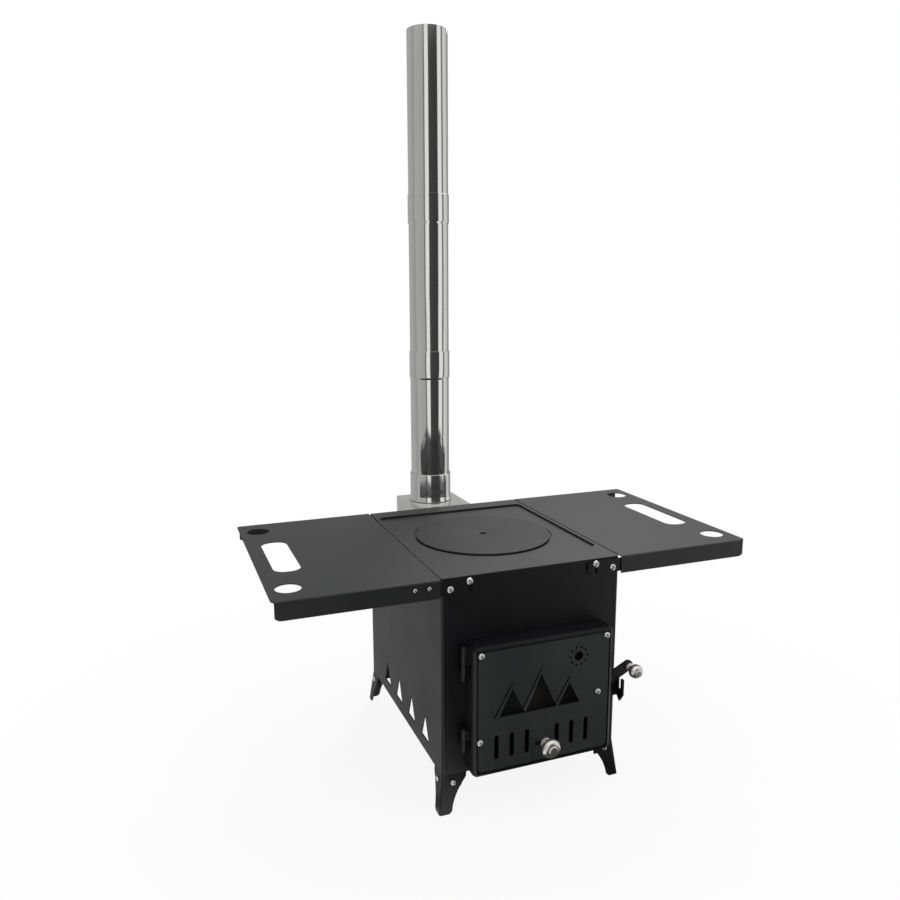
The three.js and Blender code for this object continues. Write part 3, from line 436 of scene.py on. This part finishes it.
def pipe_length(name, socketed):
    low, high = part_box(name)
    inner = pipe_radius - PIPE_WALL
    outline = [(inner, low.z, True), (pipe_radius, low.z, True)]
    if socketed:
        shoulder = high.z - SOCKET_LENGTH
        outer = pipe_radius + SOCKET_GROWTH
        outline += [
            (pipe_radius, shoulder - SOCKET_TAPER, True),
            (outer, shoulder, True),
            (outer, high.z, True),
            (outer - PIPE_WALL, high.z, True),
            (outer - PIPE_WALL, shoulder, True),
            (inner, shoulder - SOCKET_TAPER, True),
        ]
    else:
        outline += [(pipe_radius, high.z, True), (inner, high.z, True)]
    profile = rounded(outline, PIPE_EDGE)
    made = mesh_object(
        f"{name}_pipe", lambda bm: sweep(bm, profile, pipe_turn, PIPE_STEPS),
        pipe_steel, BODY_OF[name])
    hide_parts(name)


for name, socketed in (
        ("chimney_lower", True), ("chimney_middle", True), ("chimney_upper", False)):
    pipe_length(name, socketed)
print("pipe radius", round(pipe_radius / MM, 1), "mm")

# %% [markdown]
# ## The collar
# The collar is spun from the same stainless: a flared foot welded to the box and a straight neck
# that the pipe stands in. It is one profile too, because the flare's soft curve is what catches
# the light at the pipe's foot.

# %% The collar
COLLAR_WALL = 1.5 * MM
COLLAR_GAP = 0.3 * MM
COLLAR_LIP = 2 * MM
COLLAR_ROUND = 1.6 * MM
FLARE_SPREAD = 0.6 * MM
FLARE_KNEE = 5 * MM
FLARE_TOP = 9 * MM
collar_low, collar_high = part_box("flue_collar")
collar_foot = (collar_high.x - collar_low.x) / 2
collar_inner = pipe_radius + COLLAR_GAP
collar_outer = collar_inner + COLLAR_WALL
lip_radius = pipe_radius - COLLAR_LIP
foot_top = collar_low.z + COLLAR_WALL
collar_profile = rounded([
    (collar_inner, collar_high.z, True),
    (collar_inner, foot_top, False),
    (lip_radius, foot_top, False),
    (lip_radius, collar_low.z, False),
    (collar_foot, collar_low.z, True),
    (collar_foot, foot_top, True),
    (collar_outer + FLARE_SPREAD, collar_low.z + FLARE_KNEE, True),
    (collar_outer, collar_low.z + FLARE_TOP, False),
    (collar_outer, collar_high.z, True),
], COLLAR_ROUND, steps=4)
collar = mesh_object(
    "flue_collar_spun", lambda bm: sweep(bm, collar_profile, pipe_turn, PIPE_STEPS),
    pipe_steel, BODY_OF["flue_collar"])
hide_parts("flue_collar")
print("collar", round((collar_high.z - collar_low.z) / MM, 1), "mm high")

# %% [markdown]
# ## The cooking plate
# A flat round plate with a small lift hole. Its rim is rounded by the press, and a ring under it
# drops into the hole in the top. Swept round, its rim stays smooth in the long highlight that
# lies across it.

# %% The cooking plate
PLATE_STEPS = 192
PLATE_SHEET = 3 * MM
PLATE_ROUND = 0.9 * MM
RING_INSET = 8.6 * MM
RING_WALL = 1.5 * MM
LIFT_HOLE = 4 * MM
plate_low, plate_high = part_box("cook_plate")
plate_radius = (plate_high.x - plate_low.x) / 2
plate_axis = (plate_low + plate_high) / 2
plate_axis.z = 0
plate_under = plate_high.z - PLATE_SHEET
ring_radius = plate_radius - RING_INSET
plate_profile = rounded([
    (LIFT_HOLE, plate_high.z, True),
    (LIFT_HOLE, plate_under, False),
    (ring_radius - RING_WALL, plate_under, False),
    (ring_radius - RING_WALL, plate_low.z, False),
    (ring_radius, plate_low.z, False),
    (ring_radius, plate_under, False),
    (plate_radius, plate_under, True),
    (plate_radius, plate_high.z, True),
], PLATE_ROUND, steps=4)
plate_turn = Matrix.Translation(plate_axis)
cook_plate = mesh_object(
    "cook_plate_pressed", lambda bm: sweep(bm, plate_profile, plate_turn, PLATE_STEPS),
    plate_coat, "cook_plate")
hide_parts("cook_plate")
print("plate", round(plate_radius * 2 / MM), "mm across")

# %% [markdown]
# ## Screw heads
# The screws have domed heads with a cross recess. The recess could be cut from a dome with a
# boolean, which leaves slivers. Instead the head is a round grid whose height is a dome less the
# cross, which keeps the recess crisp in one clean mesh.

# %% Screw heads
HEAD_RINGS, HEAD_STEPS = 18, 72
DOME_POWER = 2.6
CROSS_ARM = 0.55
CROSS_HALF_WIDTH = 0.13
CROSS_DEPTH = 0.6
CROSS_RISE = 0.5


def facing(direction):
    """A turn that takes +Z to a direction."""
    return Vector((0, 0, 1)).rotation_difference(Vector(direction)).to_matrix().to_4x4()


def domed_head(bm, turn, radius, height, recess):
    """A dome on its flat underside, with a cross recess if asked. Shares are of its radius."""
    arm, half_width, depth = radius * CROSS_ARM, radius * CROSS_HALF_WIDTH, height * CROSS_DEPTH
    grid = []
    for i in range(HEAD_RINGS + 1):
        r = radius * i / HEAD_RINGS
        ring = []
        for j in range(HEAD_STEPS):
            a = 2 * math.pi * j / HEAD_STEPS
            x, y = r * math.cos(a), r * math.sin(a)
            z = height * math.sqrt(max(0.0, 1 - (r / radius) ** DOME_POWER))
            across = min(abs(x), abs(y))
            along = max(abs(x), abs(y))
            if recess and across < half_width and along < arm:
                z -= depth * (1 - CROSS_RISE * along / arm)
            ring.append(bm.verts.new(turn @ Vector((x, y, z))))
        grid.append(ring)
    for inner, outer in zip(grid, grid[1:]):
        for j in range(HEAD_STEPS):
            k = (j + 1) % HEAD_STEPS
            bm.faces.new((inner[j], outer[j], outer[k], inner[k]))
    bm.faces.new(list(reversed(grid[-1])))
    bmesh.ops.remove_doubles(bm, verts=grid[0], dist=ON_AXIS)


print("a head's grid has", HEAD_RINGS * HEAD_STEPS, "cells")

# %% [markdown]
# ## Screws
# Each screw takes its place and its whole length from the frame's own plain screw. The shank ends
# a hair under the head, so that the two don't share a face.

# %% Screws
HEAD_HEIGHT = 2.6 * MM
SHELF_HEAD, LEG_HEAD, DOOR_HEAD = 4.3 * MM, 3.6 * MM, 4 * MM
SHANK, THIN_SHANK = 2 * MM, 1.5 * MM
SHANK_STEPS = 20
HAIR = 0.02 * MM
FRONT = (0, -1, 0)


def screw(node, direction, head, shank=SHANK):
    """A screw whose head points along direction. Head and shank are radii."""
    low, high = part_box(node)
    along = Vector(direction)
    middle = (low + high) / 2
    length = abs((high - low).dot(along))
    tip = middle + along * (length / 2)
    seat = tip - along * HEAD_HEIGHT
    end = HEAD_HEIGHT - length

    def build(bm):
        turn = Matrix.Translation(seat) @ facing(direction)
        domed_head(bm, turn, head, HEAD_HEIGHT, True)
        sweep(bm, [(0, end), (shank, end), (shank, -HAIR), (0, -HAIR)], turn, SHANK_STEPS)

    made = mesh_object(f"{node}_head", build, screw_zinc, BODY_OF[node])
    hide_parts(node)


CORNERS = [
    (f"{end}_{side}", y, x)
    for end, y in (("front", -1), ("back", 1))
    for side, x in (("left", -1), ("right", 1))
]
for corner, y, x in CORNERS:
    screw(f"shelf_pivot_screw_{corner}", (0, y, 0), SHELF_HEAD)
    screw(f"shelf_clamp_screw_{corner}", (0, y, 0), SHELF_HEAD)
    screw(f"leg_face_screw_{corner}", (0, y, 0), LEG_HEAD)
    screw(f"leg_side_screw_{corner}", (x, 0, 0), LEG_HEAD)
for node in ("door_screw_top_left", "door_screw_top_right", "door_screw_bottom_left"):
    screw(node, FRONT, DOOR_HEAD, shank=THIN_SHANK)
screw("latch_screw", FRONT, DOOR_HEAD)
print("screws at", len(CORNERS), "corners and on the door")

# %% [markdown]
# ## Rivets
# Two rivets at each end hold the left shelf to its arms. Each is a plain low dome, so the screws'
# head serves again without its cross. They ride on the shelf and fold down with it.

# %% Rivets
RIVET_PLACES = (133 * MM, 150 * MM)
RIVET_DROP = 8.5 * MM
RIVET_RADIUS = 2.4 * MM
RIVET_HEIGHT = 1.2 * MM
shelf_low, shelf_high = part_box("left_shelf")
for end, face, out in (("front", shelf_low.y, -1), ("back", shelf_high.y, 1)):
    for number, across in enumerate(RIVET_PLACES, 1):
        place = Vector((-across, face, shelf_high.z - RIVET_DROP))
        turn = Matrix.Translation(place) @ facing((0, out, 0))
        mesh_object(
            f"rivet_{end}_left_{number}",
            lambda bm: domed_head(bm, turn, RIVET_RADIUS, RIVET_HEIGHT, False),
            screw_zinc, "left_shelf")
print("rivets:", 2 * len(RIVET_PLACES))

# %% [markdown]
# ## The knobs
# Both knobs are turned from bar and plated: a nut at the foot, a thin neck, a round body that
# stands clear of the door, and a screw end in its face. The neck keeps the heat of the door off
# the hand. The profile is written in shares of the knob's radius and length, so one profile fits
# both.

# %% Knobs
KNOB_STEPS = 96
KNOB_LENGTH = 25 * MM
KNOB_SHANK = 2.5 * MM
KNOB_ROUND = 0.9 * MM
KNOB_PROFILE = [
    (0.55, 0.0), (0.55, 0.17), (0.34, 0.19), (0.34, 0.42), (0.62, 0.445), (0.87, 0.50),
    (0.985, 0.585), (1.0, 0.66), (0.955, 0.76), (0.80, 0.86), (0.62, 0.905), (0.46, 0.915),
    (0.46, 0.985), (0.38, 1.0),
]


def knob(node):
    low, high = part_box(node)
    radius = (high.x - low.x) / 2
    base = Vector(((low.x + high.x) / 2, low.y + KNOB_LENGTH, (low.z + high.z) / 2))
    shank_end = base.y - high.y
    outline = [(0, shank_end, False), (KNOB_SHANK, shank_end, True), (KNOB_SHANK, 0, False)]
    outline += [(r * radius, h * KNOB_LENGTH, True) for r, h in KNOB_PROFILE]
    outline += [(0, KNOB_LENGTH, False)]
    profile = rounded(outline, KNOB_ROUND, steps=4)
    turn = Matrix.Translation(base) @ facing(FRONT)
    made = mesh_object(
        f"{node}_turned", lambda bm: sweep(bm, profile, turn, KNOB_STEPS),
        knob_chrome, BODY_OF[node])
    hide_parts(node)


for node in ("air_knob", "latch_knob"):
    knob(node)
print("knobs", round(KNOB_LENGTH / MM), "mm long")

# %% [markdown]
# ## The studio's walls
# Bright metal has no look of its own: it shows what stands round it. Panels could be built round
# the stove. A ramp in the world does the same without a mesh. In front, where the photographer
# stands, the walls are dark between two bright strips, which is what leaves the front of a black
# stove black and draws the dark band down the pipe. A third strip at the right lights the pipe's
# edge, and the rest is soft grey. Each stop below is a turn round the stove in degrees, with 0 in
# front of the door and 90 at its right, and how bright the wall is there.

# %% The walls
WALLS = [
    (-180, 0.46), (-140, 0.50), (-104, 0.40), (-98, 0.52), (-46, 0.46), (-43, 0.16), (-39, 0.14),
    (-36, 1.0), (-18, 1.0), (-15, 0.07), (36, 0.05), (40, 1.0), (62, 1.0), (65, 0.18), (74, 0.25),
    (79, 0.85), (104, 0.72), (120, 0.32), (150, 0.46), (180, 0.44),
]


def wall_shade(tree, direction):
    """The walls' brightness in a direction from the stove, and the direction's height."""
    parts = add_node(tree, "ShaderNodeSeparateXYZ", inputs={0: direction})
    forward = add_node(tree, "ShaderNodeMath", {"operation": "MULTIPLY"}, {
        0: parts.outputs["Y"], 1: -1.0})
    turn = add_node(tree, "ShaderNodeMath", {"operation": "ARCTAN2"}, {
        0: parts.outputs["X"], 1: forward.outputs[0]})
    share = add_node(tree, "ShaderNodeMapRange", inputs={
        "Value": turn.outputs[0], "From Min": -math.pi, "From Max": math.pi})
    ramp = add_node(tree, "ShaderNodeValToRGB", inputs={"Fac": share.outputs["Result"]})
    stops = ramp.color_ramp.elements
    while len(stops) < len(WALLS):
        stops.new(0.5)
    for stop, (degrees, level) in zip(stops, WALLS):
        stop.position = (degrees + 180) / 360
        stop.color = (level, level, level, 1)
    return ramp.outputs["Color"], parts.outputs["Z"]


print("walls:", len(WALLS), "stops")

# %% [markdown]
# ## The world
# The walls rise into a pale ceiling, which fills the flat tops with even light. The eye itself
# sees plain white behind the stove, so the world shows white to the camera and the room to all
# else.

# %% The world
CEILING_FROM, CEILING_FULL = 0.40, 0.75
CEILING = (0.9, 0.9, 0.9, 1)
WHITE = (1, 1, 1, 1)

world = bpy.data.worlds.new("studio")
world.use_nodes = True
bpy.context.scene.world = world
tree = world.node_tree
tree.nodes.clear()
wall, height = wall_shade(tree, add_node(tree, "ShaderNodeTexCoord").outputs["Generated"])
rise = add_node(tree, "ShaderNodeMapRange", {"interpolation_type": "SMOOTHSTEP"}, {
    "Value": height, "From Min": CEILING_FROM, "From Max": CEILING_FULL})
studio = add_node(tree, "ShaderNodeMix", {"data_type": "RGBA"}, {
    "Factor": rise.outputs["Result"], "A": wall, "B": CEILING})
room = add_node(tree, "ShaderNodeBackground", inputs={
    "Color": studio.outputs["Result"], "Strength": 1.0})
backdrop = add_node(tree, "ShaderNodeBackground", inputs={"Color": WHITE, "Strength": 1.0})
ray = add_node(tree, "ShaderNodeLightPath")
shown = add_node(tree, "ShaderNodeMixShader", inputs={
    0: ray.outputs["Is Camera Ray"], 1: room.outputs[0], 2: backdrop.outputs[0]})
add_node(tree, "ShaderNodeOutputWorld", inputs={"Surface": shown.outputs[0]})
print("ceiling from a height of", CEILING_FROM)

# %% [markdown]
# ## The floor
# The floor is pale and matt. To the eye it shows the stove's soft shadow close by and fades to
# the background's white further out. Polished metal sees the studio's walls carried on across it,
# as a glossy studio floor would show them, so that the pipe's bands run unbroken down to its
# collar.

# %% The floor
FLOOR_HALF = 4.0
FADE_FROM, FADE_TO = 0.25, 0.9
NEAR_WHITE = 0.9
floor_mesh = bpy.data.meshes.new("floor")
floor_mesh.from_pydata([
    (-FLOOR_HALF, -FLOOR_HALF, 0), (FLOOR_HALF, -FLOOR_HALF, 0),
    (FLOOR_HALF, FLOOR_HALF, 0), (-FLOOR_HALF, FLOOR_HALF, 0),
], [], [(0, 1, 2, 3)])
floor = bpy.data.objects.new("floor", floor_mesh)
bpy.context.collection.objects.link(floor)
floor_material = bpy.data.materials.new("pale_floor")
floor_material.use_nodes = True
tree = floor_material.node_tree
tree.nodes.clear()
spot = add_node(tree, "ShaderNodeTexCoord").outputs["Object"]
away = add_node(tree, "ShaderNodeVectorMath", {"operation": "LENGTH"}, {0: spot})
fade = add_node(tree, "ShaderNodeMapRange", {"interpolation_type": "SMOOTHSTEP"}, {
    "Value": away.outputs["Value"], "From Min": FADE_FROM, "From Max": FADE_TO,
    "To Min": NEAR_WHITE, "To Max": 1.0})
pale = add_node(tree, "ShaderNodeBsdfDiffuse", inputs={"Color": linear("#f4f4f4")})
white = add_node(tree, "ShaderNodeEmission", inputs={"Color": WHITE, "Strength": 1.0})
mirrored = add_node(tree, "ShaderNodeEmission", inputs={
    "Color": wall_shade(tree, spot)[0], "Strength": 1.0})
ray = add_node(tree, "ShaderNodeLightPath")
direct = add_node(tree, "ShaderNodeMath", {"operation": "MAXIMUM"}, {
    0: ray.outputs["Is Camera Ray"], 1: ray.outputs["Is Transmission Ray"]})
share = add_node(tree, "ShaderNodeMath", {"operation": "MULTIPLY"}, {
    0: direct.outputs[0], 1: fade.outputs["Result"]})
seen = add_node(tree, "ShaderNodeMixShader", inputs={
    0: share.outputs[0], 1: pale.outputs[0], 2: white.outputs[0]})
surface = add_node(tree, "ShaderNodeMixShader", inputs={
    0: ray.outputs["Is Glossy Ray"], 1: seen.outputs[0], 2: mirrored.outputs[0]})
add_node(tree, "ShaderNodeOutputMaterial", inputs={"Surface": surface.outputs[0]})
floor_mesh.materials.append(floor_material)
print("floor:", FLOOR_HALF * 2, "m across")

# %% [markdown]
# ## The lamp
# The world lights the stove evenly. One broad lamp above and behind, to the right, adds the
# shelves' soft sheen, most on the right one. It is wide, so its light has no hard edge.

# %% The lamp
LAMP_PLACE = Vector((1.0, 1.2, 1.9))
LAMP_AIM = Vector((0, 0, 0.3))
LAMP_SIZE = 0.8
LAMP_POWER = 12.5
lamp_data = bpy.data.lights.new("overhead_lamp", "AREA")
lamp_data.size = LAMP_SIZE
lamp_data.energy = LAMP_POWER
lamp = bpy.data.objects.new("overhead_lamp", lamp_data)
lamp.location = LAMP_PLACE
lamp.rotation_mode = "QUATERNION"
lamp.rotation_quaternion = (LAMP_AIM - LAMP_PLACE).to_track_quat("-Z", "Y")
bpy.context.collection.objects.link(lamp)
bpy.context.scene.view_settings.view_transform = "Standard"
print("lamp", round(LAMP_PLACE.length, 2), "m away")
